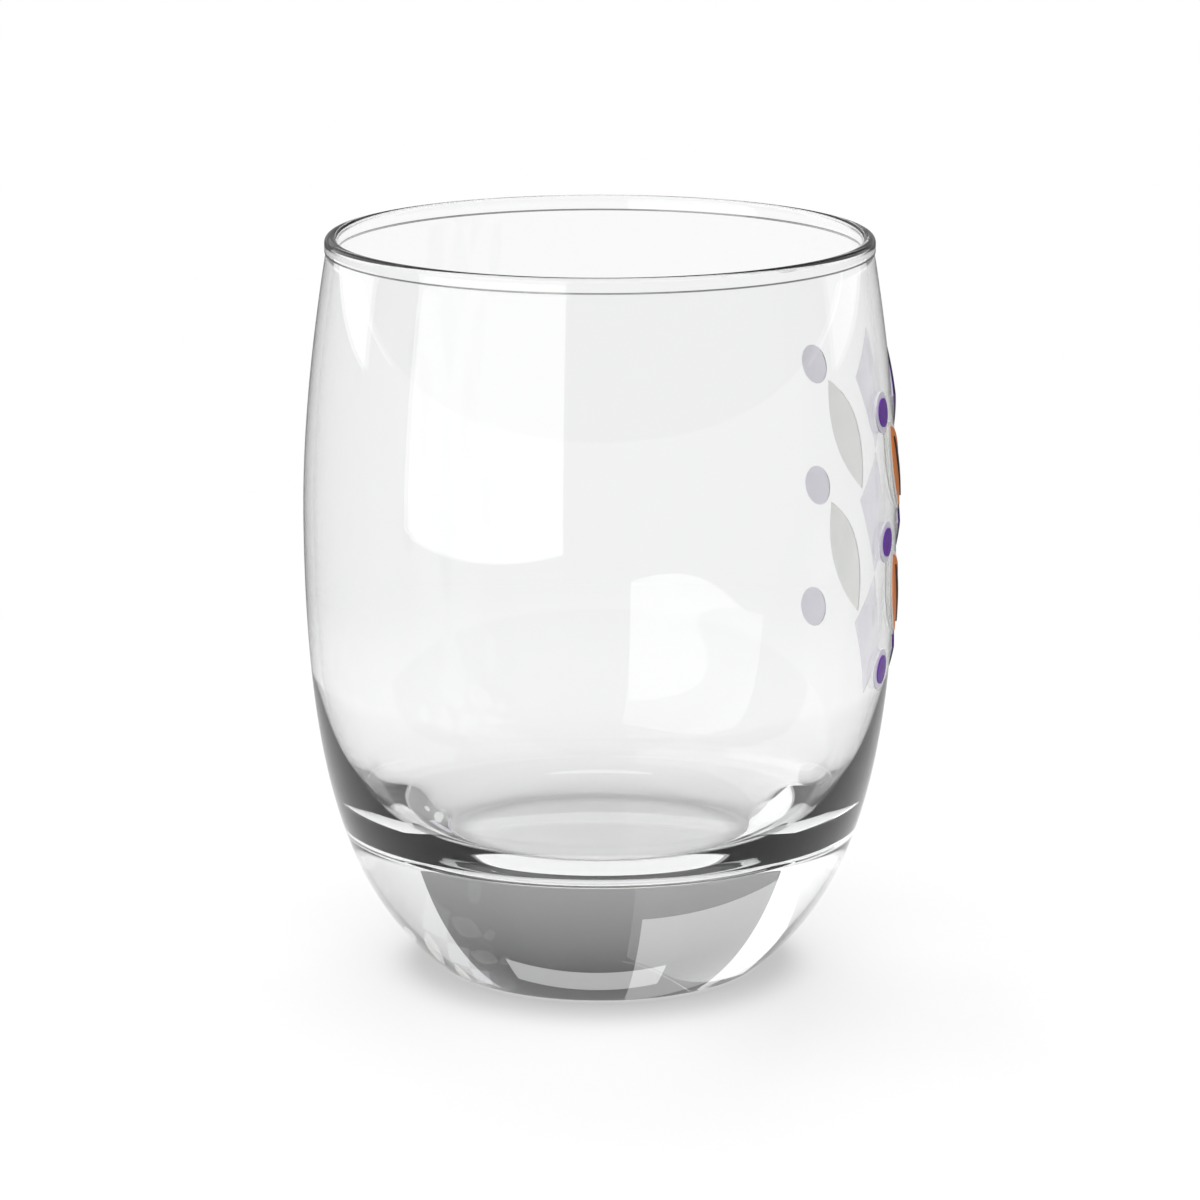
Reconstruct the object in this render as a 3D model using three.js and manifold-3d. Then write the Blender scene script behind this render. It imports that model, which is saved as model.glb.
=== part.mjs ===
// A barrel-shaped whisky glass with a beaded rim, a heavy base and a printed panel on one side.
// Millimetres, +Z up, origin at the centre of the foot, panel on the +X side.
import * as THREE from "three";
import { mergeVertices } from "three/addons/utils/BufferGeometryUtils.js";
import Module from "manifold-3d";

const wasm = await Module();
wasm.setup();

// Outside of the glass
const HEIGHT = 83.8;
const FOOT_RADIUS = 18.5;
const FOOT_EDGE = 0.8; // rounding where the foot turns into the flank
const FLANK_ANGLE = 37.5; // degrees above level where the flank leaves the foot
const FLANK_PULL = 14.5; // how far the flank keeps that angle
const BELLY_RADIUS = 33.5;
const BELLY_HEIGHT = 51.8; // level of the widest girth
const BELLY_PULL_DOWN = 26.8; // how far the girth stays upright below and above
const BELLY_PULL_UP = 9.6;
const NECK_RADIUS = 30.6; // outside radius just below the rim bead
const NECK_LEAN = 9.6; // degrees that the wall leans in there
const NECK_PULL = 10;

// Rim bead: a rounded band, centred on the wall
const BEAD_HEIGHT = 1.72;
const BEAD_OVERHANG = 0.35; // how far it stands proud of each face of the wall
const BEAD_CREST = 0.45; // rounding of its upper edges
const BEAD_HEM = 0.2; // rounding of its lower edges

// Inside of the glass
const WALL = 1.15;
const HEEL_HEIGHT = 34.3; // level where the wall starts to thicken
const HEEL_PULL = 0.2;
const FLOOR_HEIGHT = 15.65; // thickness of the base
const CORNER_RISE = 3.85; // the round corner starts this far above the floor
const CORNER_WALL = 3; // thickness of the wall there
const CORNER_LEAN = 37.5; // degrees that the inner face leans in there
const CORNER_PULL_UP = 5.4;
const CORNER_PULL_DOWN = 4;
const CORNER_RUN = 10.9; // from the top of the corner in to the flat floor
const CORNER_FLOOR_PULL = 7;

// Printed panel
const INK = 0.1; // thickness of one layer of ink
const INK_GAP = 0.06; // clearance under each layer
const PATCH_GAP = 0.5; // bare glass between neighbouring patches
const PANEL_TURN = 9.5; // degrees from +X round to the panel's middle
const PANEL_DROP = 32.8; // from the rim down to the panel's middle
const UNDER_MARGIN = 0.7; // under-layer that shows round a colour field
const LOZENGE_WIDTH = 11;
const LOZENGE_HEIGHT = 12;
const KEYLINE = 0.55; // width of the dark line round a lozenge
const GEM_WIDTH = 4.4;
const GEM_HEIGHT = 5.4;
const LEAF_LENGTH = 12.5;
const LEAF_WIDTH = 5;
const LEAF_TILT = 34; // degrees that a leaf's tip leans outwards
const VEIN_LENGTH = 9.4;
const VEIN_WIDTH = 0.8;
const BERRY_RADIUS = 1.6;

// Facets
const TURN_STEPS = 64;
const LOWER_STEPS = 13;
const UPPER_STEPS = 8;
const BEAD_STEPS = 3;
const CURVE_STEPS = 6;
const PRINT_STEPS = 16;

const RAD = Math.PI / 180;
const at = (radius, height) => new THREE.Vector2(radius, height);
const heading = (degrees) => at(Math.cos(degrees * RAD), Math.sin(degrees * RAD));

// A cubic curve that leaves its start along one direction and reaches its end along another.
function sweep(start, out, pull, end, into, endPull) {
  const first = start.clone().addScaledVector(out, pull);
  const last = end.clone().addScaledVector(into, -endPull);
  return new THREE.CubicBezierCurve(start, first, last, end);
}

// Outside curves: the flank from foot to belly, and the shoulder from belly to neck
const beadUnder = HEIGHT - BEAD_HEIGHT;
const neck = at(NECK_RADIUS, beadUnder);
const belly = at(BELLY_RADIUS, BELLY_HEIGHT);
const upright = heading(90);
const flank = sweep(at(FOOT_RADIUS, 0), heading(FLANK_ANGLE), FLANK_PULL, belly, upright, BELLY_PULL_DOWN);
const shoulder = sweep(belly, upright, BELLY_PULL_UP, neck, heading(90 + NECK_LEAN), NECK_PULL);

// The point of a rising curve at a level, found by halving
function paramAt(curve, level) {
  let low = 0;
  let high = 1;
  for (let step = 0; step < 40; step++) {
    const middle = (low + high) / 2;
    if (curve.getPoint(middle).y < level) low = middle;
    else high = middle;
  }
  return (low + high) / 2;
}

// A point that lies off the outside surface by a distance, outwards if positive
function offWall(curve, t, distance) {
  const along = curve.getTangent(t);
  return curve.getPoint(t).add(at(along.y, -along.x).multiplyScalar(distance));
}

function wallPoint(level, distance) {
  const curve = level < BELLY_HEIGHT ? flank : shoulder;
  return offWall(curve, paramAt(curve, level), distance);
}

// The points of a curve between two of its parameters, without the first
function span(curve, from, to, steps, distance = 0) {
  const points = [];
  for (let step = 1; step <= steps; step++) {
    points.push(offWall(curve, from + ((to - from) * step) / steps, distance));
  }
  return points;
}

// A quarter of a circle, from an angle in degrees
function quarter(radius, height, rounding, from) {
  const arc = new THREE.EllipseCurve(radius, height, rounding, rounding, from * RAD, (from + 90) * RAD);
  return arc.getPoints(BEAD_STEPS);
}

// Closed outline of the glass, from the middle of the foot round the rim to the middle of the floor
function glassOutline() {
  const edgeEnd = paramAt(flank, FOOT_EDGE * Math.sin(FLANK_ANGLE * RAD));
  const edge = new THREE.QuadraticBezierCurve(
    at(FOOT_RADIUS - FOOT_EDGE, 0),
    at(FOOT_RADIUS, 0),
    flank.getPoint(edgeEnd),
  );

  const outer = NECK_RADIUS + BEAD_OVERHANG;
  const inner = NECK_RADIUS - WALL - BEAD_OVERHANG;
  const crestLevel = HEIGHT - BEAD_CREST;
  const hemLevel = beadUnder + BEAD_HEM;

  const heelEnd = paramAt(flank, HEEL_HEIGHT);
  const heel = offWall(flank, heelEnd, -WALL);
  const corner = wallPoint(FLOOR_HEIGHT + CORNER_RISE, 0);
  corner.x -= CORNER_WALL;
  const lean = heading(-90 - CORNER_LEAN);
  const floorEdge = at(corner.x - CORNER_RUN, FLOOR_HEIGHT);
  const heelRun = flank.getTangent(heelEnd).negate();
  const thickening = sweep(heel, heelRun, HEEL_PULL, corner, lean, CORNER_PULL_UP);
  const rounding = sweep(corner, lean, CORNER_PULL_DOWN, floorEdge, heading(180), CORNER_FLOOR_PULL);

  return [
    at(0, 0),
    ...edge.getPoints(CURVE_STEPS / 2),
    ...span(flank, edgeEnd, 1, LOWER_STEPS),
    ...span(shoulder, 0, 1, UPPER_STEPS),
    ...quarter(outer - BEAD_HEM, hemLevel, BEAD_HEM, -90),
    ...quarter(outer - BEAD_CREST, crestLevel, BEAD_CREST, 0),
    ...quarter(inner + BEAD_CREST, crestLevel, BEAD_CREST, 90),
    ...quarter(inner + BEAD_HEM, hemLevel, BEAD_HEM, 180),
    offWall(shoulder, 1, -WALL),
    ...span(shoulder, 1, 0, UPPER_STEPS, -WALL),
    ...span(flank, 1, heelEnd, CURVE_STEPS, -WALL),
    ...thickening.getPoints(CURVE_STEPS).slice(1),
    ...rounding.getPoints(CURVE_STEPS).slice(1),
    at(0, FLOOR_HEIGHT),
  ];
}

// A solid turned about Z from an outline of radius and height
function turned(outline) {
  return new THREE.LatheGeometry(outline, TURN_STEPS).rotateX(Math.PI / 2);
}

function toSolid(geometry) {
  const bare = geometry.clone().deleteAttribute("normal").deleteAttribute("uv");
  const merged = mergeVertices(bare, 1e-4);
  return new wasm.Manifold(
    new wasm.Mesh({
      numProp: 3,
      vertProperties: merged.attributes.position.array,
      triVerts: new Uint32Array(merged.index.array),
    }),
  );
}

function toGeometry(solid) {
  const mesh = solid.getMesh();
  const geometry = new THREE.BufferGeometry();
  geometry.setAttribute("position", new THREE.BufferAttribute(mesh.vertProperties, 3));
  geometry.setIndex(new THREE.BufferAttribute(mesh.triVerts, 1));
  geometry.computeVertexNormals();
  return geometry;
}

const group = new THREE.Group();

function addPiece(name, geometry, material) {
  const mesh = new THREE.Mesh(geometry, material);
  mesh.name = name;
  group.add(mesh);
}

const finish = (color, roughness, more = {}) =>
  new THREE.MeshStandardMaterial({ color, roughness, metalness: 0, ...more });
const clearGlass = finish(0xf4f8f7, 0.02, { transparent: true, opacity: 0.35 });
const whiteInk = finish(0xf2f1ee, 0.5);
const purpleInk = finish(0x5a1fa6, 0.4);
const orangeInk = finish(0xe8742a, 0.4);
const blackInk = finish(0x17151a, 0.4);

addPiece("glass_body", turned(glassOutline()), clearGlass);

// Layout of the panel: rows of lozenges, with leaves beside their tips and berries outside the leaves
const panelMiddle = HEIGHT - PANEL_DROP;
const rowStep = 2 * lozengeReach(LOZENGE_HEIGHT, LOZENGE_WIDTH, UNDER_MARGIN) + PATCH_GAP;
const leafSlant = (LEAF_LENGTH / 2 + UNDER_MARGIN) * Math.sin(LEAF_TILT * RAD);
const leafArc = LOZENGE_WIDTH / 2 + PATCH_GAP + leafSlant;
const berryArc = leafArc + leafSlant + PATCH_GAP + UNDER_MARGIN + BERRY_RADIUS;
const rows = [
  ["lower", -1],
  ["middle", 0],
  ["upper", 1],
];
const leafRows = [
  ["lower", -0.5],
  ["upper", 0.5],
];
const sides = [
  ["front", -1],
  ["back", 1],
];

// One layer of ink all round the wall, over the panel's levels
function inkShell(layer) {
  const under = layer * (INK + INK_GAP) + INK_GAP;
  const reach = rowStep + LOZENGE_HEIGHT;
  const side = (distance) => {
    const points = [];
    for (let step = 0; step <= PRINT_STEPS; step++) {
      const level = panelMiddle - reach + (2 * reach * step) / PRINT_STEPS;
      points.push(wallPoint(level, distance));
    }
    return points;
  };
  const outline = [...side(under + INK), ...side(under).reverse()];
  return toSolid(turned([...outline, outline[0].clone()]));
}
const shells = [0, 1, 2].map(inkShell);

// A patch of ink: a flat shape pressed through one layer, at an arc and a level on the panel
function printPatch(name, shape, layer, arc, level, material) {
  const punch = new THREE.ExtrudeGeometry(shape, {
    depth: BELLY_RADIUS,
    bevelEnabled: false,
    curveSegments: CURVE_STEPS,
  });
  punch.rotateX(Math.PI / 2).rotateZ(Math.PI / 2);
  punch.translate(BELLY_RADIUS / 2, 0, level);
  punch.rotateZ(PANEL_TURN * RAD + arc / BELLY_RADIUS);
  addPiece(name, toGeometry(shells[layer].intersect(toSolid(punch))), material);
}

// Half of a lozenge's diagonal once its sides are moved out by a margin
function lozengeReach(along, across, margin) {
  return along / 2 + (margin * Math.hypot(along, across)) / across;
}

function lozenge(width, height, margin = 0) {
  const side = lozengeReach(width, height, margin);
  const up = lozengeReach(height, width, margin);
  return new THREE.Shape([at(0, -up), at(side, 0), at(0, up), at(-side, 0)]);
}

// A leaf between two pointed tips, turned by a tilt and grown by a margin
function leaf(length, width, tilt, margin = 0) {
  const half = length / 2 + margin;
  const bulge = width / 2 + margin;
  const tip = heading(90 - tilt).multiplyScalar(half);
  const side = heading(-tilt).multiplyScalar(bulge * 2);
  const shape = new THREE.Shape();
  shape.moveTo(-tip.x, -tip.y);
  shape.quadraticCurveTo(side.x, side.y, tip.x, tip.y);
  shape.quadraticCurveTo(-side.x, -side.y, -tip.x, -tip.y);
  return shape;
}

function disc(radius) {
  return new THREE.Shape().absarc(0, 0, radius, 0, 2 * Math.PI);
}

function printLozenge(row, level) {
  const name = `${row}_lozenge`;
  const under = lozenge(LOZENGE_WIDTH, LOZENGE_HEIGHT, UNDER_MARGIN);
  const field = lozenge(LOZENGE_WIDTH, LOZENGE_HEIGHT);
  const keyline = lozenge(LOZENGE_WIDTH, LOZENGE_HEIGHT);
  keyline.holes.push(lozenge(LOZENGE_WIDTH, LOZENGE_HEIGHT, -KEYLINE));
  printPatch(`${name}_underlayer`, under, 0, 0, level, whiteInk);
  printPatch(`${name}_field`, field, 1, 0, level, purpleInk);
  printPatch(`${name}_keyline`, keyline, 2, 0, level, blackInk);
  printPatch(`${name}_gem`, lozenge(GEM_WIDTH, GEM_HEIGHT), 2, 0, level, orangeInk);
}

function printBerry(name, arc, level) {
  printPatch(`${name}_underlayer`, disc(BERRY_RADIUS + UNDER_MARGIN), 0, arc, level, whiteInk);
  printPatch(`${name}_field`, disc(BERRY_RADIUS), 1, arc, level, purpleInk);
}

function printLeaf(name, arc, level, tilt) {
  const under = leaf(LEAF_LENGTH, LEAF_WIDTH, tilt, UNDER_MARGIN);
  printPatch(`${name}_underlayer`, under, 0, arc, level, whiteInk);
  printPatch(`${name}_blade`, leaf(LEAF_LENGTH, LEAF_WIDTH, tilt), 1, arc, level, orangeInk);
  printPatch(`${name}_vein`, leaf(VEIN_LENGTH, VEIN_WIDTH, tilt), 2, arc, level, blackInk);
}

for (const [row, step] of rows) {
  const level = panelMiddle + step * rowStep;
  printLozenge(row, level);
  for (const [side, turn] of sides) {
    printBerry(`${row}_${side}_berry`, turn * berryArc, level);
  }
}
for (const [row, step] of leafRows) {
  const level = panelMiddle + step * rowStep;
  for (const [side, turn] of sides) {
    printLeaf(`${row}_${side}_leaf`, turn * leafArc, level, turn * LEAF_TILT);
  }
}

export default group;
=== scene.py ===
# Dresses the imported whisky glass: a turned clear body, a panel of printed inks and a plain studio.
import math

import bmesh
import bpy
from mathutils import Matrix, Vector


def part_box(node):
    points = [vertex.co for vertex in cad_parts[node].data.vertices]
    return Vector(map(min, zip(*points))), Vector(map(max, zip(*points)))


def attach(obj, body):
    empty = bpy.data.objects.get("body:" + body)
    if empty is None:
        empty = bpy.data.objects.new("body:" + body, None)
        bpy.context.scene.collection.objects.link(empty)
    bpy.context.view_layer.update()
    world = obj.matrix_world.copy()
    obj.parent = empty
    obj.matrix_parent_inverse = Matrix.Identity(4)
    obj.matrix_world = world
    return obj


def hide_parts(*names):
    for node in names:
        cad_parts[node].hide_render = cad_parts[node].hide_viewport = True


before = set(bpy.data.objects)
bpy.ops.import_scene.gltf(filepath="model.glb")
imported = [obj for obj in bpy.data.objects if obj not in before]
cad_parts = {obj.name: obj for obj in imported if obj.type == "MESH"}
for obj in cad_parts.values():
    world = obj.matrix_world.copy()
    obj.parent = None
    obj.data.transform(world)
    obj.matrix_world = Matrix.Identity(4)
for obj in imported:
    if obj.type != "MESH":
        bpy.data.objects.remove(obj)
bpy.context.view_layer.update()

_, GLASS_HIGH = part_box("glass_body")

bl_info = {
    "name": "Whisky glass",
    "version": (1, 0, 0),
    "blender": (4, 5, 0),
    "location": "View3D > Sidebar > Glass",
    "description": "Builds a barrel-shaped whisky glass with a printed panel on its packed frame",
    "category": "Add Mesh",
}

# Points along each stretch of the glass outline, and facets round the axis
EDGE_STEPS = 8
FLANK_STEPS = 64
SHOULDER_STEPS = 30
BEAD_STEPS = 8
INNER_STEPS = 24
THICKENING_STEPS = 36
ROUNDING_STEPS = 48
FACETS_ROUND = 256
# Halvings that find a level on a curve, and how far towards the corner a rounded edge has its handles
HALVINGS = 40
CORNER_HANDLE = 2 / 3

# Points across the printed shapes
LOZENGE_STEPS = 24
LEAF_LONG_STEPS = 36
LEAF_CROSS_STEPS = 10
DISC_RINGS = 8
DISC_STEPS = 40
KEYLINE_STEPS = 24
KEYLINE_CROSS_STEPS = 3

# How near points are joined, which edges stay crisp, and how far out the pressing of the print starts
WELD = 2e-6
SHARP_ANGLE = math.radians(40)
RAY_REACH = 0.06

# Rows of the print, sides of its middle, and layers from the glass outwards
ROWS = (("lower", -1), ("middle", 0), ("upper", 1))
LEAF_ROWS = (("lower", -0.5), ("upper", 0.5))
SIDES = (("front", -1), ("back", 1))
UNDER_LAYER, FIELD_LAYER, DETAIL_LAYER = range(3)

# Values between which most of a noise lies
NOISE_LOW, NOISE_HIGH = 0.3, 0.7

# Finish of the glass, each scale in blotches for each metre
GLASS_IOR = 1.5
HAZE_SCALE = 90.0
HAZE_ROUGHNESS = (0.0, 0.012)
WAVE_SCALE, WAVE_DETAIL = 70.0, 1.0
WAVE_STRENGTH, WAVE_DEPTH = 0.05, 0.00006
TINT_DENSITY = 2.0

# Finish of the inks
INK_IOR = 1.5
UNDER_INK_ROUGHNESS, TOP_INK_ROUGHNESS = 0.45, 0.34
SATIN_SCALE, SATIN_SMOOTHER, SATIN_ROUGHER = 900.0, 0.06, 0.1
MOTTLE_SCALE, MOTTLE_DETAIL = 350.0, 3.0
MOTTLE_DARK, MOTTLE_LIGHT = 0.93, 1.06
FLECK_SCALE, FLECK_DETAIL, FLECK_SHARE = 5200.0, 2.0, 0.16
FLECK_DARK, FLECK_GREY = 0.6, 0.03
GRAIN_SCALE, GRAIN_DETAIL = 3600.0, 3.0
GRAIN_STRENGTH, GRAIN_DEPTH = 0.5, 0.00003

# Share of the reach of the painted glow under the foot that glows at full strength
FOOT_GLOW_CORE = 0.8
# Heights, as sines, between which the room fades from its low to its high brightness
BACK_FADE = (0.0, 0.46)
FRONT_FADE = (0.2, 0.6)
# Power of an area lamp for each unit of radiance and area
LAMP_POWER = 4
SENSOR_WIDTH = 36.0
BLACK, WHITE = (0.0, 0.0, 0.0), (1.0, 1.0, 1.0)

# Softboxes that only the glass shows: name, distance, left, right, low and high edge, radiance
SOFTBOXES = (
    ("right_softbox", 1.2, 32, 74, -1, 50, 0.5),
    ("left_softbox", 1.2, -74, -32.5, -1, 55, 0.8),
    ("back_left_softbox", 1.2, -32.5, -6.5, 11, 44, 0.23),
    ("back_strip", 1.2, -13, 19, 26, 35, 0.3),
    ("window_softbox", 0.3, -166.7, -103.4, -8.4, 55, 1.2),
)
# Lamps that only light the floor and the print: name, place, size, radiance, whether it casts a shadow
LAMPS = (
    ("left_lamp", (-2.6, 0.0, 1.16), 2.4, 5.3, False),
    ("right_lamp", (2.6, 0.0, 1.16), 2.4, 1.1, False),
    ("back_lamp", (0.0, 1.6, 2.2), 1.6, 4.6, True),
    ("front_lamp", (0.0, -1.6, 2.2), 1.6, 1.2, True),
)


# Kinds of size that a user can change
def length(name, metres, description):
    return bpy.props.FloatProperty(
        name=name, description=description, default=metres, precision=5, unit="LENGTH"
    )


def angle(name, degrees, description):
    return bpy.props.FloatProperty(
        name=name, description=description, default=math.radians(degrees), unit="ROTATION"
    )


def colour(name, red, green, blue, description):
    return bpy.props.FloatVectorProperty(
        name=name,
        description=description,
        default=(red, green, blue),
        size=3,
        min=0.0,
        max=1.0,
        subtype="COLOR",
    )


def factor(name, value, description):
    return bpy.props.FloatProperty(name=name, description=description, default=value, min=0.0)


class GlassSizes(bpy.types.PropertyGroup):
    """Sizes of the clear glass body and its finish"""

    height: length("Height", GLASS_HIGH.z, "From the foot to the top of the rim")
    foot_radius: length("Foot radius", 0.0185, "Where the flank would meet the table")
    foot_edge: length("Foot edge", 0.0008, "Rounding where the foot turns into the flank")
    flank_angle: angle("Flank angle", 37.5, "Above level, where the flank leaves the foot")
    flank_pull: length("Flank pull", 0.0145, "How far the flank keeps that angle")
    belly_radius: length("Belly radius", GLASS_HIGH.y, "Outside radius at the widest girth")
    belly_height: length("Belly height", 0.0518, "Level of the widest girth")
    belly_pull_down: length("Belly pull down", 0.0268, "How far the girth stays upright below")
    belly_pull_up: length("Belly pull up", 0.0096, "How far the girth stays upright above")
    neck_radius: length("Neck radius", 0.0306, "Outside radius just below the rim bead")
    neck_lean: angle("Neck lean", 9.6, "How far the wall leans in at the neck")
    neck_pull: length("Neck pull", 0.01, "How far the neck keeps that lean")
    bead_height: length("Bead height", 0.00172, "Height of the rounded rim bead")
    bead_overhang: length("Bead overhang", 0.00015, "How far the bead stands proud of the wall")
    bead_crest: length("Bead crest", 0.0007, "Rounding of the bead's upper edges")
    bead_hem: length("Bead hem", 0.0001, "Rounding of the bead's lower edges")
    wall: length("Wall", 0.00115, "Thickness of the upper wall")
    heel_height: length("Heel height", 0.0343, "Level where the wall starts to thicken")
    heel_pull: length("Heel pull", 0.0002, "How far the wall keeps its thickness there")
    floor_height: length("Floor height", 0.01565, "Thickness of the base")
    corner_rise: length("Corner rise", 0.00385, "From the cavity floor up to its round corner")
    corner_wall: length("Corner wall", 0.003, "Thickness of the wall at the top of the corner")
    corner_lean: angle("Corner lean", 37.5, "How far the inner face leans in there")
    corner_pull_up: length("Corner pull up", 0.0054, "How far the lean reaches up the wall")
    corner_pull_down: length("Corner pull down", 0.004, "How far the lean reaches down")
    corner_run: length("Corner run", 0.0109, "From the top of the corner in to the flat floor")
    corner_floor_pull: length("Corner floor pull", 0.007, "How far the floor stays flat outwards")
    clear: colour("Clear", 0.953, 0.956, 0.955, "Share of light that one pass through the wall keeps")
    tint: colour("Tint", 0.9, 0.97, 0.93, "Colour that a thick stretch of the glass takes on")
    wall_shadow: factor("Wall shadow", 0.995, "Share of lamp light that each face of the wall lets past")
    shadow_low: length("Shadow low", 0.002, "Height up to which the base's shadow is full")
    shadow_high: length("Shadow high", 0.006, "Height from which the shadow is that of the wall")
    base_shadow: factor("Base shadow", 0.24, "Share of it that each face of the base lets past")


class PrintSizes(bpy.types.PropertyGroup):
    """Sizes and colours of the printed panel"""

    pitch: length("Pitch", 0.000155, "From the underside of one layer to the next")
    bite: length("Bite", 0.00002, "How far a layer sinks into what it is printed on")
    patch_gap: length("Patch gap", 0.0005, "Bare glass between neighbouring patches")
    turn: angle("Turn", 9.5, "From +X round to the middle of the panel")
    drop: length("Drop", 0.0328, "From the rim down to the middle of the panel")
    margin: length("Margin", 0.0007, "Under-layer that shows round a colour field")
    lozenge_width: length("Lozenge width", 0.011, "Width of a lozenge")
    lozenge_height: length("Lozenge height", 0.012, "Height of a lozenge")
    keyline: length("Keyline", 0.00055, "Width of the dark line round a lozenge")
    gem_width: length("Gem width", 0.0044, "Width of the small lozenge in the middle")
    gem_height: length("Gem height", 0.0054, "Height of the small lozenge in the middle")
    leaf_length: length("Leaf length", 0.0125, "Length of a leaf between its tips")
    leaf_width: length("Leaf width", 0.005, "Greatest width of a leaf")
    leaf_tilt: angle("Leaf tilt", 34, "How far a leaf's tip leans outwards")
    vein_length: length("Vein length", 0.0094, "Length of the dark vein of a leaf")
    vein_width: length("Vein width", 0.0008, "Width of the dark vein of a leaf")
    berry_radius: length("Berry radius", 0.0016, "Radius of a berry's colour field")
    white: colour("White ink", 0.92, 0.93, 0.9, "Under-layer below the orange leaves")
    lavender: colour("Lavender ink", 0.88, 0.86, 0.94, "Under-layer that purple shows through")
    purple: colour("Purple ink", 0.14, 0.02, 0.38, "Fields of the lozenges and berries")
    orange: colour("Orange ink", 0.80, 0.22, 0.03, "Leaves and gems")
    black: colour("Black ink", 0.012, 0.011, 0.014, "Keylines and veins")


class StudioSizes(bpy.types.PropertyGroup):
    """Floor, light and camera"""

    lens: bpy.props.FloatProperty(
        name="Lens", description="Focal length in millimetres", default=142.56, unit="CAMERA"
    )
    distance: length("Distance", 0.5399, "From the camera to the point that it looks at")
    aim: length("Aim", 0.04185, "Level of the point that the camera looks at")
    elevation: angle("Elevation", 13.22, "How far the camera looks down")
    floor_drop: length("Floor drop", 0.00005, "Air between the floor and the foot")
    floor_front: length("Floor front", 0.095, "From the axis to the front edge of the floor")
    floor_reach: length("Floor reach", 20.0, "How far the floor runs to the sides and back")
    lit_reach: length("Lit reach", 0.048, "How far from the glass the floor is plainly lit")
    white_reach: length("White reach", 0.19, "How far from the glass the floor is all background")
    floor_colour: colour("Floor colour", 0.8, 0.8, 0.8, "Matt white of the floor")
    mirrored: factor("Mirrored", 0.2, "Share of the white background that reflections show")
    # Painted glow: emission on the floor under the foot, in place of the light that the base gathers
    # there
    foot_glow: factor("Foot glow", 0.42, "Light that the base gathers on the floor under the foot")
    foot_glow_reach: length("Foot glow reach", 0.019, "How far out the gathered light goes")
    sky_low: factor("Room low behind", 0.4, "Brightness of the room behind, at the horizon")
    sky_high: factor("Room high behind", 0.1, "Brightness of the room behind, high up")
    front_low: factor("Room low in front", 0.32, "Brightness of the room in front of the floor")
    front_high: factor("Room high in front", 0.15, "Brightness of the room in front, high up")


# Node and mesh helpers
def add(tree, kind, inputs=None, **settings):
    """A node with its settings, each of its inputs either linked or set"""
    made = tree.nodes.new(kind)
    for key, value in settings.items():
        setattr(made, key, value)
    for key, value in (inputs or {}).items():
        if isinstance(value, bpy.types.NodeSocket):
            tree.links.new(value, made.inputs[key])
        else:
            made.inputs[key].default_value = value
    return made


def calculate(tree, operation, *values):
    """What a sum on one or two values gives"""
    return add(tree, "ShaderNodeMath", dict(enumerate(values)), operation=operation).outputs[0]


def remap(tree, value, start, end, low, high):
    """Goes from low to high while the value goes from start to end"""
    span = {"From Min": start, "From Max": end, "To Min": low, "To Max": high}
    return add(tree, "ShaderNodeMapRange", {"Value": value, **span}).outputs[0]


def mix_value(tree, share, first, second):
    """A blend of two values, which are sockets 2 and 3 of the node"""
    return add(tree, "ShaderNodeMix", {0: share, 2: first, 3: second}).outputs[0]


def mix_colour(tree, share, first, second):
    """A blend of two colours, which are sockets 6 and 7 of the node"""
    return add(tree, "ShaderNodeMix", {0: share, 6: first, 7: second}, data_type="RGBA").outputs[2]


def new_tree(name, inputs):
    """A geometry tree with named inputs, and the sockets that give them"""
    tree = bpy.data.node_groups.new(name, "GeometryNodeTree")
    tree.is_modifier = True
    face = tree.interface
    face.new_socket("Geometry", in_out="INPUT", socket_type="NodeSocketGeometry")
    for label, kind in inputs:
        face.new_socket(label, in_out="INPUT", socket_type=f"NodeSocket{kind}")
    face.new_socket("Geometry", in_out="OUTPUT", socket_type="NodeSocketGeometry")
    given = tree.nodes.new("NodeGroupInput").outputs
    return tree, given


def end_tree(tree, geometry, material):
    """Closes a tree with real geometry and its material"""
    real = add(tree, "GeometryNodeRealizeInstances", {"Geometry": geometry})
    dressed = add(
        tree, "GeometryNodeSetMaterial", {"Geometry": real.outputs[0], "Material": material}
    )
    add(tree, "NodeGroupOutput", {"Geometry": dressed.outputs[0]})


def run_tree(name, mesh, tree, values):
    """A piece whose plain mesh is what the tree makes of a starting mesh"""
    piece = bpy.data.objects.new(name, mesh)
    modifier = piece.modifiers.new(tree.name, "NODES")
    modifier.node_group = tree
    for item in tree.interface.items_tree:
        if item.item_type == "SOCKET" and item.in_out == "INPUT" and item.name in values:
            modifier[item.identifier] = values[item.name]
    bpy.context.scene.collection.objects.link(piece)
    ready = piece.evaluated_get(bpy.context.evaluated_depsgraph_get())
    made = bpy.data.meshes.new_from_object(ready)
    piece.modifiers.remove(modifier)
    piece.data = made
    made.name = name
    bpy.data.meshes.remove(mesh)
    if not made.polygons:
        raise RuntimeError(f"{name} came out empty")
    return piece


def place(piece, node):
    """Puts a finished piece on the frame in the place of its CAD node"""
    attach(piece, "root")
    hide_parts(node)


def mesh_from(name, points, faces=(), edges=()):
    """A mesh from its points and what joins them"""
    mesh = bpy.data.meshes.new(name)
    mesh.from_pydata([tuple(point) for point in points], list(edges), list(faces))
    mesh.update()
    return mesh


# Outline of the glass
def heading(radians):
    """A unit step across and up"""
    return Vector((math.cos(radians), math.sin(radians)))


def sweep(start, out, pull, end, into, end_pull):
    """Corners of a cubic curve that leaves along one direction and arrives along another"""
    return (start, start + out * pull, end - into * end_pull, end)


def on_curve(curve, t):
    """A point of a cubic curve"""
    a, b, c, d = curve
    s = 1 - t
    return a * s**3 + b * (3 * s * s * t) + c * (3 * s * t * t) + d * t**3


def along_curve(curve, t):
    """Which way a cubic curve runs"""
    a, b, c, d = curve
    s = 1 - t
    return ((b - a) * (s * s) + (c - b) * (2 * s * t) + (d - c) * (t * t)).normalized()


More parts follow.
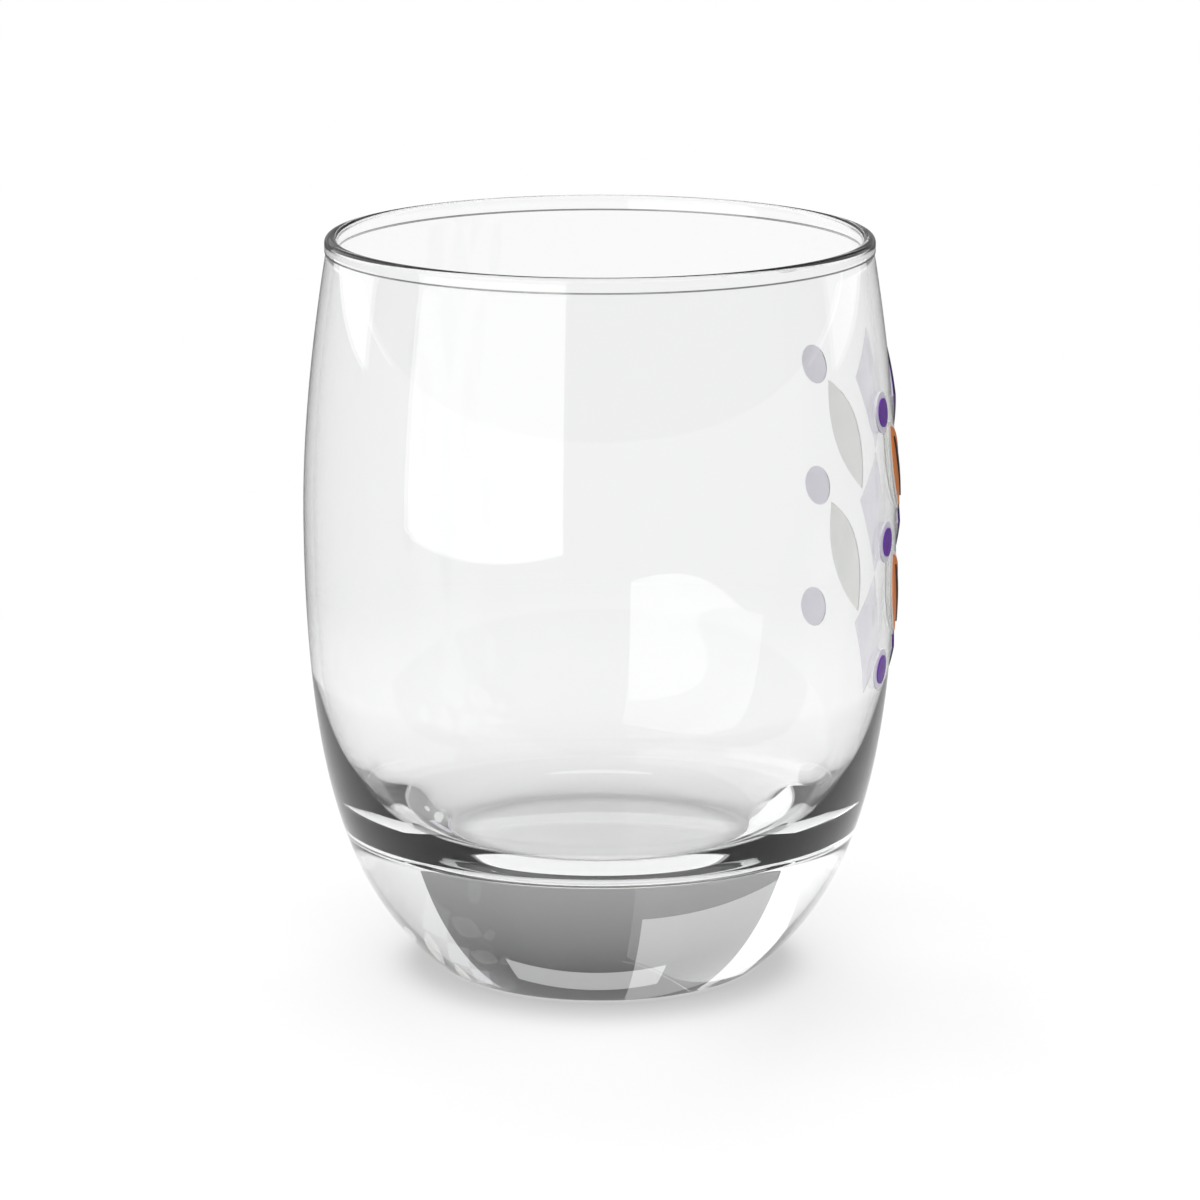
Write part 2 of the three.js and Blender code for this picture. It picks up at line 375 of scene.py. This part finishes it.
def off_curve(curve, t, distance):
    """A point beside a rising curve, outwards if the distance is positive"""
    run = along_curve(curve, t)
    return on_curve(curve, t) + Vector((run.y, -run.x)) * distance


def reach_level(curve, level):
    """Where a rising curve passes a level, found by halving"""
    low, high = 0.0, 1.0
    for _ in range(HALVINGS):
        middle = (low + high) / 2
        if on_curve(curve, middle).y < level:
            low = middle
        else:
            high = middle
    return (low + high) / 2


def stretch(curve, start, end, steps, distance=0.0):
    """Points beside a curve between two of its parameters, without the first"""
    stops = [start + (end - start) * step / steps for step in range(1, steps + 1)]
    return [off_curve(curve, stop, distance) for stop in stops]


def ease_line(start, end, steps):
    """Points along a straight line, without the first"""
    return [start.lerp(end, step / steps) for step in range(1, steps + 1)]


def quarter(radius, height, rounding, start):
    """A quarter of a circle, from an angle in degrees"""
    middle = Vector((radius, height))
    turns = [math.radians(start + 90 * step / BEAD_STEPS) for step in range(BEAD_STEPS + 1)]
    return [middle + heading(turn) * rounding for turn in turns]


def glass_outline(sizes):
    """From the middle of the foot out, up, over the rim and down to the middle of the floor"""
    upright = heading(math.pi / 2)
    neck = Vector((sizes.neck_radius, sizes.height - sizes.bead_height))
    belly = Vector((sizes.belly_radius, sizes.belly_height))
    foot = Vector((sizes.foot_radius, 0.0))
    lean_in = heading(math.pi / 2 + sizes.neck_lean)
    flare = heading(sizes.flank_angle)
    flank = sweep(foot, flare, sizes.flank_pull, belly, upright, sizes.belly_pull_down)
    shoulder = sweep(belly, upright, sizes.belly_pull_up, neck, lean_in, sizes.neck_pull)

    edge_end = reach_level(flank, sizes.foot_edge * math.sin(sizes.flank_angle))
    edge_start = Vector((sizes.foot_radius - sizes.foot_edge, 0.0))
    edge_stop = on_curve(flank, edge_end)
    edge_out = edge_start.lerp(foot, CORNER_HANDLE)
    edge_in = edge_stop.lerp(foot, CORNER_HANDLE)
    edge = (edge_start, edge_out, edge_in, edge_stop)

    outer = sizes.neck_radius + sizes.bead_overhang
    inner = sizes.neck_radius - sizes.wall - sizes.bead_overhang
    crest, hem = sizes.bead_crest, sizes.bead_hem
    crest_level = sizes.height - crest
    hem_level = neck.y + hem

    heel_end = reach_level(flank, sizes.heel_height)
    heel = off_curve(flank, heel_end, -sizes.wall)
    corner = on_curve(flank, reach_level(flank, sizes.floor_height + sizes.corner_rise))
    corner.x -= sizes.corner_wall
    lean = heading(-math.pi / 2 - sizes.corner_lean)
    inward = Vector((-1.0, 0.0))
    floor_edge = Vector((corner.x - sizes.corner_run, sizes.floor_height))
    heel_run = -along_curve(flank, heel_end)
    thickening = sweep(heel, heel_run, sizes.heel_pull, corner, lean, sizes.corner_pull_up)
    rounding = sweep(
        corner, lean, sizes.corner_pull_down, floor_edge, inward, sizes.corner_floor_pull
    )

    foot_middle = Vector((0.0, 0.0))
    floor_middle = Vector((0.0, sizes.floor_height))
    return [
        foot_middle,
        *ease_line(foot_middle, edge_start, EDGE_STEPS),
        *stretch(edge, 0, 1, EDGE_STEPS),
        *stretch(flank, edge_end, 1, FLANK_STEPS),
        *stretch(shoulder, 0, 1, SHOULDER_STEPS),
        *quarter(outer - hem, hem_level, hem, -90),
        *quarter(outer - crest, crest_level, crest, 0),
        *quarter(inner + crest, crest_level, crest, 90),
        *quarter(inner + hem, hem_level, hem, 180),
        off_curve(shoulder, 1, -sizes.wall),
        *stretch(shoulder, 1, 0, SHOULDER_STEPS, -sizes.wall),
        *stretch(flank, 1, heel_end, INNER_STEPS, -sizes.wall),
        *stretch(thickening, 0, 1, THICKENING_STEPS),
        *stretch(rounding, 0, 1, ROUNDING_STEPS),
        *ease_line(floor_edge, floor_middle, EDGE_STEPS),
    ]


def crisp_smooth(tree, geometry):
    """Smooth shading that keeps the sharp corners crisp"""
    smooth = add(tree, "GeometryNodeSetShadeSmooth", {"Geometry": geometry})
    bend = add(tree, "GeometryNodeInputMeshEdgeAngle").outputs["Unsigned Angle"]
    corner = add(tree, "FunctionNodeCompare", {0: bend, 1: SHARP_ANGLE}, operation="GREATER_THAN")
    crisp = add(
        tree,
        "GeometryNodeSetShadeSmooth",
        {"Geometry": smooth.outputs[0], "Selection": corner.outputs[0], "Shade Smooth": False},
        domain="EDGE",
    )
    return crisp.outputs[0]


def turning_tree():
    """Turns an outline of radius and height about Z into a closed body"""
    tree, given = new_tree(
        "Turned glass",
        (("Facets round", "Int"), ("Weld distance", "Float"), ("Glass", "Material")),
    )
    size = add(
        tree,
        "GeometryNodeAttributeDomainSize",
        {"Geometry": given["Geometry"]},
        component="MESH",
    )
    count = size.outputs["Point Count"]
    columns = calculate(tree, "ADD", given["Facets round"], 1.0)
    grid = add(tree, "GeometryNodeMeshGrid", {"Vertices X": columns, "Vertices Y": count})
    index = add(tree, "GeometryNodeInputIndex").outputs[0]
    step = calculate(tree, "MODULO", index, count)
    column = calculate(tree, "FLOOR", calculate(tree, "DIVIDE", index, count))
    share = calculate(tree, "DIVIDE", column, given["Facets round"])
    turn = calculate(tree, "MULTIPLY", share, math.tau)
    position = add(tree, "GeometryNodeInputPosition").outputs[0]
    outline = add(
        tree,
        "GeometryNodeSampleIndex",
        {"Geometry": given["Geometry"], "Index": step},
        data_type="FLOAT_VECTOR",
    )
    tree.links.new(position, outline.inputs["Value"])
    turned = add(
        tree,
        "ShaderNodeVectorRotate",
        {"Vector": outline.outputs[0], "Angle": turn},
        rotation_type="Z_AXIS",
    )
    shaped = add(
        tree,
        "GeometryNodeSetPosition",
        {"Geometry": grid.outputs["Mesh"], "Position": turned.outputs[0]},
    )
    welded = add(
        tree,
        "GeometryNodeMergeByDistance",
        {"Geometry": shaped.outputs[0], "Distance": given["Weld distance"]},
    )
    end_tree(tree, crisp_smooth(tree, welded.outputs[0]), given["Glass"])
    return tree


# Materials
def new_material(name):
    """A material with its tree, its surface shader and its output"""
    material = bpy.data.materials.new(name)
    material.use_nodes = True
    tree = material.node_tree
    return material, tree, tree.nodes["Principled BSDF"], tree.nodes["Material Output"]


def noise(tree, scale, detail=2.0, roughness=0.5):
    """Noise in metres on the piece, about one blotch for each 1 / scale"""
    where = add(tree, "ShaderNodeTexCoord").outputs["Object"]
    made = add(
        tree,
        "ShaderNodeTexNoise",
        {"Vector": where, "Scale": scale, "Detail": detail, "Roughness": roughness},
    )
    return made.outputs["Fac"]


def spread(tree, value, low, high):
    """A noise stretched over a range"""
    return remap(tree, value, NOISE_LOW, NOISE_HIGH, low, high)


def relief(tree, height, strength, depth):
    """Bumps too fine to model"""
    made = add(tree, "ShaderNodeBump", {"Strength": strength, "Distance": depth, "Height": height})
    return made.outputs[0]


def opaque(tone):
    """A colour as the shaders take it"""
    return (*tone, 1.0)


def clear_glass(sizes):
    """Polished clear glass with the faint drawn waves of a pressed wall"""
    material, tree, skin, output = new_material("Clear glass")
    skin.inputs["Base Color"].default_value = opaque(sizes.clear)
    skin.inputs["IOR"].default_value = GLASS_IOR
    skin.inputs["Transmission Weight"].default_value = 1.0
    haze = spread(tree, noise(tree, HAZE_SCALE), *HAZE_ROUGHNESS)
    tree.links.new(haze, skin.inputs["Roughness"])
    wave = relief(tree, noise(tree, WAVE_SCALE, WAVE_DETAIL), WAVE_STRENGTH, WAVE_DEPTH)
    tree.links.new(wave, skin.inputs["Normal"])

    # The base throws a shadow, the wall next to none
    where = add(tree, "ShaderNodeTexCoord").outputs["Object"]
    level = add(tree, "ShaderNodeSeparateXYZ", {0: where}).outputs["Z"]
    let_past = remap(
        tree, level, sizes.shadow_low, sizes.shadow_high, sizes.base_shadow, sizes.wall_shadow
    )
    past = add(tree, "ShaderNodeBsdfTransparent", {"Color": let_past})
    ray = add(tree, "ShaderNodeLightPath").outputs["Is Shadow Ray"]
    both = add(tree, "ShaderNodeMixShader", {0: ray, 1: skin.outputs[0], 2: past.outputs[0]})
    tree.links.new(both.outputs[0], output.inputs["Surface"])

    absorbed = {"Color": opaque(sizes.tint), "Density": TINT_DENSITY}
    depth = add(tree, "ShaderNodeVolumeAbsorption", absorbed)
    tree.links.new(depth.outputs[0], output.inputs["Volume"])
    return material


def cured_ink(name, base, roughness):
    """Screen-printed ink: a mottled colour with mesh grain and a satin surface"""
    material, tree, skin, _ = new_material(name)
    base = Vector(base)
    mottle = noise(tree, MOTTLE_SCALE, MOTTLE_DETAIL)
    cloudy = mix_colour(tree, mottle, opaque(base * MOTTLE_DARK), opaque(base * MOTTLE_LIGHT))
    fleck = base * FLECK_DARK + Vector((FLECK_GREY, FLECK_GREY, FLECK_GREY))
    flecks = spread(tree, noise(tree, FLECK_SCALE, FLECK_DETAIL), 0.0, FLECK_SHARE)
    flecked = mix_colour(tree, flecks, cloudy, opaque(fleck))
    tree.links.new(flecked, skin.inputs["Base Color"])
    smoothest, roughest = roughness - SATIN_SMOOTHER, roughness + SATIN_ROUGHER
    satin = spread(tree, noise(tree, SATIN_SCALE), smoothest, roughest)
    tree.links.new(satin, skin.inputs["Roughness"])
    grain = relief(tree, noise(tree, GRAIN_SCALE, GRAIN_DETAIL), GRAIN_STRENGTH, GRAIN_DEPTH)
    tree.links.new(grain, skin.inputs["Normal"])
    skin.inputs["IOR"].default_value = INK_IOR
    return material


# Flat printed shapes, drawn across and up in metres
def grid_mesh(name, rows, ring=False):
    """Faces between rows of points, closed round if it is a ring"""
    columns = len(rows[0])
    points = [(point[0], point[1], 0.0) for row in rows for point in row]
    faces = []
    for row in range(len(rows) - 1):
        for column in range(columns if ring else columns - 1):
            after = (column + 1) % columns
            low, high = row * columns, (row + 1) * columns
            faces.append((low + column, low + after, high + after, high + column))
    mesh = mesh_from(name, points, faces)
    shape = bmesh.new()
    shape.from_mesh(mesh)
    bmesh.ops.remove_doubles(shape, verts=shape.verts, dist=WELD)
    shape.normal_update()
    if sum(face.normal.z * face.calc_area() for face in shape.faces) < 0:
        bmesh.ops.reverse_faces(shape, faces=shape.faces)
    shape.to_mesh(mesh)
    shape.free()
    return mesh


def lozenge_reach(along, across, margin):
    """Half of a diagonal once the sides are moved out by a margin"""
    return along / 2 + margin * math.hypot(along, across) / across


def lozenge_corners(width, height, margin=0.0):
    """Bottom, right, top and left"""
    side = lozenge_reach(width, height, margin)
    up = lozenge_reach(height, width, margin)
    return [Vector((0, -up)), Vector((side, 0)), Vector((0, up)), Vector((-side, 0))]


def lozenge(name, width, height, margin=0.0):
    """A filled lozenge, larger all round by a margin"""
    bottom, right, _, left = lozenge_corners(width, height, margin)
    steps = range(LOZENGE_STEPS + 1)
    rows = []
    for row in steps:
        rise = (left - bottom) * (row / LOZENGE_STEPS)
        rows.append([bottom + rise + (right - bottom) * (step / LOZENGE_STEPS) for step in steps])
    return grid_mesh(name, rows)


def lozenge_line(name, width, height, line):
    """The band between a lozenge and one that is smaller all round"""
    outer = lozenge_corners(width, height)
    inner = lozenge_corners(width, height, -line)
    rows = []
    for cross in range(KEYLINE_CROSS_STEPS + 1):
        share = cross / KEYLINE_CROSS_STEPS
        corners = [a.lerp(b, share) for a, b in zip(inner, outer)]
        row = []
        for start, end in zip(corners, corners[1:] + corners[:1]):
            row += [start.lerp(end, step / KEYLINE_STEPS) for step in range(KEYLINE_STEPS)]
        rows.append(row)
    return grid_mesh(name, rows, ring=True)


def leaf(name, leaf_length, width, tilt, margin=0.0):
    """A leaf with two tips, whose sides bulge in even curves"""
    tip = heading(math.pi / 2 - tilt) * (leaf_length / 2 + margin)
    side = heading(-tilt) * (width + 2 * margin)
    rows = []
    for step in range(LEAF_LONG_STEPS + 1):
        share = step / LEAF_LONG_STEPS
        spine = tip * (2 * share - 1)
        bulge = side * (2 * share * (1 - share))
        across = range(-LEAF_CROSS_STEPS, LEAF_CROSS_STEPS + 1)
        rows.append([spine + bulge * (cross / LEAF_CROSS_STEPS) for cross in across])
    return grid_mesh(name, rows)


def disc(name, radius):
    """A round spot"""
    rows = []
    for ring in range(DISC_RINGS + 1):
        reach = radius * ring / DISC_RINGS
        turns = [math.tau * step / DISC_STEPS for step in range(DISC_STEPS)]
        rows.append([heading(turn) * reach for turn in turns])
    return grid_mesh(name, rows, ring=True)


def pressing_tree():
    """Presses a flat shape onto the outside of the glass and gives it the ink's thickness"""
    tree, given = new_tree(
        "Pressed ink",
        (
            ("Glass body", "Object"),
            ("Turn", "Float"),
            ("Level", "Float"),
            ("Lift", "Float"),
            ("Thickness", "Float"),
            ("Weld distance", "Float"),
            ("Ink", "Material"),
        ),
    )
    position = add(tree, "GeometryNodeInputPosition").outputs[0]
    flat = add(tree, "ShaderNodeSeparateXYZ", {0: position}).outputs
    up = calculate(tree, "ADD", flat["Y"], given["Level"])
    stand_off = add(tree, "ShaderNodeCombineXYZ", {"X": RAY_REACH, "Y": flat["X"], "Z": up})
    start = add(
        tree,
        "ShaderNodeVectorRotate",
        {"Vector": stand_off.outputs[0], "Angle": given["Turn"]},
        rotation_type="Z_AXIS",
    )
    inward = add(
        tree,
        "ShaderNodeVectorRotate",
        {"Vector": (-1.0, 0.0, 0.0), "Angle": given["Turn"]},
        rotation_type="Z_AXIS",
    )
    wall = add(tree, "GeometryNodeObjectInfo", {"Object": given["Glass body"]})
    hit = add(
        tree,
        "GeometryNodeRaycast",
        {
            "Target Geometry": wall.outputs["Geometry"],
            "Source Position": start.outputs[0],
            "Ray Direction": inward.outputs[0],
            "Ray Length": RAY_REACH,
        },
    )
    lift = add(
        tree,
        "ShaderNodeVectorMath",
        {0: hit.outputs["Hit Normal"], "Scale": given["Lift"]},
        operation="SCALE",
    )
    seat = add(
        tree,
        "ShaderNodeVectorMath",
        {0: hit.outputs["Hit Position"], 1: lift.outputs[0]},
        operation="ADD",
    )
    laid = add(
        tree,
        "GeometryNodeSetPosition",
        {"Geometry": given["Geometry"], "Position": seat.outputs[0]},
    )
    raised = add(
        tree,
        "GeometryNodeExtrudeMesh",
        {"Mesh": laid.outputs[0], "Offset Scale": given["Thickness"], "Individual": False},
        mode="FACES",
    )
    under = add(tree, "GeometryNodeFlipFaces", {"Mesh": laid.outputs[0]})
    joined = add(tree, "GeometryNodeJoinGeometry", {0: raised.outputs["Mesh"]})
    tree.links.new(under.outputs[0], joined.inputs[0])
    welded = add(
        tree,
        "GeometryNodeMergeByDistance",
        {"Geometry": joined.outputs[0], "Distance": given["Weld distance"]},
    )
    end_tree(tree, crisp_smooth(tree, welded.outputs[0]), given["Ink"])
    return tree


class PanelPlan:
    """Where the printed shapes lie and what they are printed with"""

    def __init__(self, scene):
        self.sizes = scene.print_sizes
        self.glass = scene.glass_sizes
        self.body = bpy.data.objects["clear_body"]
        self.tree = bpy.data.node_groups.get("Pressed ink") or pressing_tree()
        sizes = self.sizes
        self.middle = self.glass.height - sizes.drop
        reach = lozenge_reach(sizes.lozenge_height, sizes.lozenge_width, sizes.margin)
        self.row_step = 2 * reach + sizes.patch_gap
        slant = (sizes.leaf_length / 2 + sizes.margin) * math.sin(sizes.leaf_tilt)
        self.leaf_arc = sizes.lozenge_width / 2 + sizes.patch_gap + slant
        berry_reach = sizes.berry_radius + sizes.margin
        self.berry_arc = self.leaf_arc + slant + sizes.patch_gap + berry_reach

    def ink(self, name, base, roughness):
        """An ink, made when it is first asked for"""
        return bpy.data.materials.get(name) or cured_ink(name, base, roughness)

    def press(self, node, mesh, layer, arc, step, ink):
        """Prints one shape in the place of its CAD node"""
        sizes = self.sizes
        values = {
            "Glass body": self.body,
            "Turn": sizes.turn + arc / self.glass.belly_radius,
            "Level": self.middle + step * self.row_step,
            "Lift": layer * sizes.pitch - sizes.bite,
            "Thickness": sizes.pitch + sizes.bite,
            "Weld distance": WELD,
            "Ink": ink,
        }
        piece = run_tree(f"printed_{node}", mesh, self.tree, values)
        place(piece, node)

    def inks(self):
        """The inks by their colours"""
        sizes = self.sizes
        return {
            "white": self.ink("White ink", sizes.white, UNDER_INK_ROUGHNESS),
            "lavender": self.ink("Lavender ink", sizes.lavender, UNDER_INK_ROUGHNESS),
            "purple": self.ink("Purple ink", sizes.purple, TOP_INK_ROUGHNESS),
            "orange": self.ink("Orange ink", sizes.orange, TOP_INK_ROUGHNESS),
            "black": self.ink("Black ink", sizes.black, TOP_INK_ROUGHNESS),
        }


class GLASS_OT_body(bpy.types.Operator):
    """Turn the clear glass body from its outline"""

    bl_idname = "whisky.body"
    bl_label = "Glass body"

    def execute(self, context):
        sizes = context.scene.glass_sizes
        points = [(point.x, 0.0, point.y) for point in glass_outline(sizes)]
        edges = [(index, index + 1) for index in range(len(points) - 1)]
        outline = mesh_from("glass_outline", points, edges=edges)
        glass = clear_glass(sizes)
        values = {"Facets round": FACETS_ROUND, "Weld distance": WELD, "Glass": glass}
        piece = run_tree("clear_body", outline, turning_tree(), values)
        place(piece, "glass_body")
        return {"FINISHED"}


class GLASS_OT_lozenges(bpy.types.Operator):
    """Print the column of lozenges with their keylines and gems"""

    bl_idname = "whisky.lozenges"
    bl_label = "Lozenges"

    def execute(self, context):
        plan = PanelPlan(context.scene)
        sizes, inks = plan.sizes, plan.inks()
        width, height = sizes.lozenge_width, sizes.lozenge_height
        arc = 0.0
        for row, step in ROWS:
            name = f"{row}_lozenge"
            under = lozenge("flat", width, height, sizes.margin)
            ink = inks["lavender"]
            plan.press(f"{name}_underlayer", under, UNDER_LAYER, arc, step, ink)
            field = lozenge("flat", width, height)
            ink = inks["purple"]
            plan.press(f"{name}_field", field, FIELD_LAYER, arc, step, ink)
            line = lozenge_line("flat", width, height, sizes.keyline)
            ink = inks["black"]
            plan.press(f"{name}_keyline", line, DETAIL_LAYER, arc, step, ink)
            gem = lozenge("flat", sizes.gem_width, sizes.gem_height)
            ink = inks["orange"]
            plan.press(f"{name}_gem", gem, DETAIL_LAYER, arc, step, ink)
        return {"FINISHED"}


class GLASS_OT_berries(bpy.types.Operator):
    """Print the berries at both ends of each row"""

    bl_idname = "whisky.berries"
    bl_label = "Berries"

    def execute(self, context):
        plan = PanelPlan(context.scene)
        sizes, inks = plan.sizes, plan.inks()
        for row, step in ROWS:
            for side, turn in SIDES:
                name = f"{row}_{side}_berry"
                arc = turn * plan.berry_arc
                under = disc("flat", sizes.berry_radius + sizes.margin)
                ink = inks["lavender"]
                plan.press(f"{name}_underlayer", under, UNDER_LAYER, arc, step, ink)
                field = disc("flat", sizes.berry_radius)
                ink = inks["purple"]
                plan.press(f"{name}_field", field, FIELD_LAYER, arc, step, ink)
        return {"FINISHED"}


class GLASS_OT_leaves(bpy.types.Operator):
    """Print the leaves between the rows, each with its vein"""

    bl_idname = "whisky.leaves"
    bl_label = "Leaves"

    def execute(self, context):
        plan = PanelPlan(context.scene)
        sizes, inks = plan.sizes, plan.inks()
        for row, step in LEAF_ROWS:
            for side, turn in SIDES:
                name = f"{row}_{side}_leaf"
                arc, tilt = turn * plan.leaf_arc, turn * sizes.leaf_tilt
                under = leaf("flat", sizes.leaf_length, sizes.leaf_width, tilt, sizes.margin)
                ink = inks["white"]
                plan.press(f"{name}_underlayer", under, UNDER_LAYER, arc, step, ink)
                blade = leaf("flat", sizes.leaf_length, sizes.leaf_width, tilt)
                ink = inks["orange"]
                plan.press(f"{name}_blade", blade, FIELD_LAYER, arc, step, ink)
                vein = leaf("flat", sizes.vein_length, sizes.vein_width, tilt)
                ink = inks["black"]
                plan.press(f"{name}_vein", vein, DETAIL_LAYER, arc, step, ink)
        return {"FINISHED"}


# Studio
def background_ray(tree, mirrored):
    """How much of the background shows: all of it straight or through the glass, less in reflections"""
    rays = add(tree, "ShaderNodeLightPath").outputs
    through = calculate(tree, "MAXIMUM", rays["Is Camera Ray"], rays["Is Transmission Ray"])
    reflected = calculate(tree, "MULTIPLY", rays["Is Glossy Ray"], mirrored)
    return calculate(tree, "MAXIMUM", through, reflected)


def pale_floor(studio):
    """Matt near the glass, white background further off, with a painted glow under the foot in place of
    the light that the base gathers there
    """
    material, tree, skin, _ = new_material("Pale floor")
    where = add(tree, "ShaderNodeTexCoord").outputs["Object"]
    away = add(tree, "ShaderNodeVectorMath", {0: where}, operation="LENGTH").outputs["Value"]
    share = remap(tree, away, studio.lit_reach, studio.white_reach, 0.0, 1.0)
    # Painted glow: emission under the foot, fading out at its reach, stands in for the light that the
    # base gathers on the floor
    reach = studio.foot_glow_reach
    painted_glow = remap(tree, away, reach * FOOT_GLOW_CORE, reach, studio.foot_glow, 0.0)
    glow = calculate(tree, "ADD", share, painted_glow)
    matt = mix_colour(tree, share, opaque(studio.floor_colour), opaque(BLACK))
    tree.links.new(matt, skin.inputs["Base Color"])
    skin.inputs["Roughness"].default_value = 1.0
    skin.inputs["Specular IOR Level"].default_value = 0.0
    skin.inputs["Emission Color"].default_value = opaque(WHITE)
    shown = calculate(tree, "MULTIPLY", background_ray(tree, studio.mirrored), glow)
    tree.links.new(shown, skin.inputs["Emission Strength"])
    return material


def make_floor(studio):
    """A floor that ends shortly in front of the glass and runs far to the sides and back"""
    wide, front, level = studio.floor_reach, -studio.floor_front, -studio.floor_drop
    near = [(-wide, front, level), (wide, front, level)]
    far = [(wide, wide, level), (-wide, wide, level)]
    floor = bpy.data.objects.new("floor", mesh_from("floor", near + far, [(0, 1, 2, 3)]))
    floor.data.materials.append(pale_floor(studio))
    bpy.context.scene.collection.objects.link(floor)


def make_room(studio):
    """White to the camera, and to the glass a dim room that darkens upwards over a white floor"""
    world = bpy.data.worlds.new("Room")
    bpy.context.scene.world = world
    world.use_nodes = True
    tree = world.node_tree
    rays = add(tree, "ShaderNodeLightPath").outputs
    where = add(tree, "ShaderNodeTexCoord").outputs["Generated"]
    way = add(tree, "ShaderNodeSeparateXYZ", {0: where}).outputs
    behind = calculate(tree, "GREATER_THAN", way["Y"], 0.0)
    above = calculate(tree, "GREATER_THAN", way["Z"], 0.0)
    back = remap(tree, way["Z"], *BACK_FADE, studio.sky_low, studio.sky_high)
    front = remap(tree, way["Z"], *FRONT_FADE, studio.front_low, studio.front_high)
    around = mix_value(tree, behind, front, back)
    white = calculate(tree, "MAXIMUM", rays["Is Transmission Ray"], behind)
    below = mix_value(tree, white, studio.front_low, 1.0)
    room = mix_value(tree, above, below, around)
    seen = mix_value(tree, rays["Is Camera Ray"], room, 1.0)
    tree.links.new(seen, tree.nodes["Background"].inputs["Color"])


def make_lamp(name, spot, facing, width, height, radiance, shows):
    """An area lamp that either shows in the glass or lights the floor and the print"""
    lamp = bpy.data.lights.new(name, "AREA")
    lamp.shape = "RECTANGLE"
    lamp.size, lamp.size_y = width, height
    lamp.energy = radiance * LAMP_POWER * width * height
    holder = bpy.data.objects.new(name, lamp)
    holder.location = spot
    holder.rotation_euler = facing.to_track_quat("-Z", "Y").to_euler()
    holder.visible_camera = False
    holder.visible_diffuse = not shows
    holder.visible_glossy = shows
    holder.visible_transmission = shows
    bpy.context.scene.collection.objects.link(holder)
    return lamp


def make_softbox(name, distance, left, right, bottom, top, radiance, aim):
    """A softbox between edges in degrees seen from the glass, round from +Y towards +X and up"""
    turn = math.radians((left + right) / 2)
    outward = Vector((math.sin(turn), math.cos(turn), 0.0))
    width = 2 * distance * math.tan(math.radians(right - left) / 2)
    low = distance * math.tan(math.radians(bottom))
    high = distance * math.tan(math.radians(top))
    middle = outward * distance + Vector((0.0, 0.0, aim + (low + high) / 2))
    make_lamp(name, middle, -outward, width, high - low, radiance, True)


def make_camera(studio):
    """A camera in front that looks down at the glass"""
    eye = bpy.data.cameras.new("camera")
    eye.sensor_width = SENSOR_WIDTH
    eye.lens = studio.lens
    holder = bpy.data.objects.new("camera", eye)
    level = studio.distance * math.cos(studio.elevation)
    holder.location = (0.0, -level, studio.aim + studio.distance * math.sin(studio.elevation))
    holder.rotation_euler = (math.pi / 2 - studio.elevation, 0.0, 0.0)
    bpy.context.scene.collection.objects.link(holder)
    bpy.context.scene.camera = holder


class GLASS_OT_studio(bpy.types.Operator):
    """Set up the floor, the light and the camera"""

    bl_idname = "whisky.studio"
    bl_label = "Studio"

    def execute(self, context):
        studio = context.scene.studio_sizes
        context.scene.view_settings.view_transform = "Standard"
        context.scene.cycles.caustics_reflective = False
        context.scene.cycles.caustics_refractive = False
        make_floor(studio)
        make_room(studio)
        for softbox in SOFTBOXES:
            make_softbox(*softbox, studio.aim)
        for name, spot, size, radiance, shadow in LAMPS:
            spot = Vector(spot)
            make_lamp(name, spot, -spot, size, size, radiance, False).use_shadow = shadow
        make_camera(studio)
        return {"FINISHED"}


class GLASS_PT_panel(bpy.types.Panel):
    """Sizes and builders of the whisky glass"""

    bl_idname = "GLASS_PT_panel"
    bl_label = "Whisky glass"
    bl_space_type = "VIEW_3D"
    bl_region_type = "UI"
    bl_category = "Glass"

    def draw(self, context):
        scene = context.scene
        for builder in BUILDERS:
            self.layout.operator(builder.bl_idname)
        for group in (scene.glass_sizes, scene.print_sizes, scene.studio_sizes):
            box = self.layout.box()
            for name in group.__annotations__:
                box.prop(group, name)


BUILDERS = (GLASS_OT_body, GLASS_OT_lozenges, GLASS_OT_berries, GLASS_OT_leaves, GLASS_OT_studio)
CLASSES = (GlassSizes, PrintSizes, StudioSizes, *BUILDERS, GLASS_PT_panel)


def register():
    for part in CLASSES:
        bpy.utils.register_class(part)
    bpy.types.Scene.glass_sizes = bpy.props.PointerProperty(type=GlassSizes)
    bpy.types.Scene.print_sizes = bpy.props.PointerProperty(type=PrintSizes)
    bpy.types.Scene.studio_sizes = bpy.props.PointerProperty(type=StudioSizes)


def unregister():
    del bpy.types.Scene.studio_sizes
    del bpy.types.Scene.print_sizes
    del bpy.types.Scene.glass_sizes
    for part in reversed(CLASSES):
        bpy.utils.unregister_class(part)


def main():
    register()
    bpy.ops.whisky.body()
    bpy.ops.whisky.lozenges()
    bpy.ops.whisky.berries()
    bpy.ops.whisky.leaves()
    bpy.ops.whisky.studio()


if __name__ == "__main__":
    main()
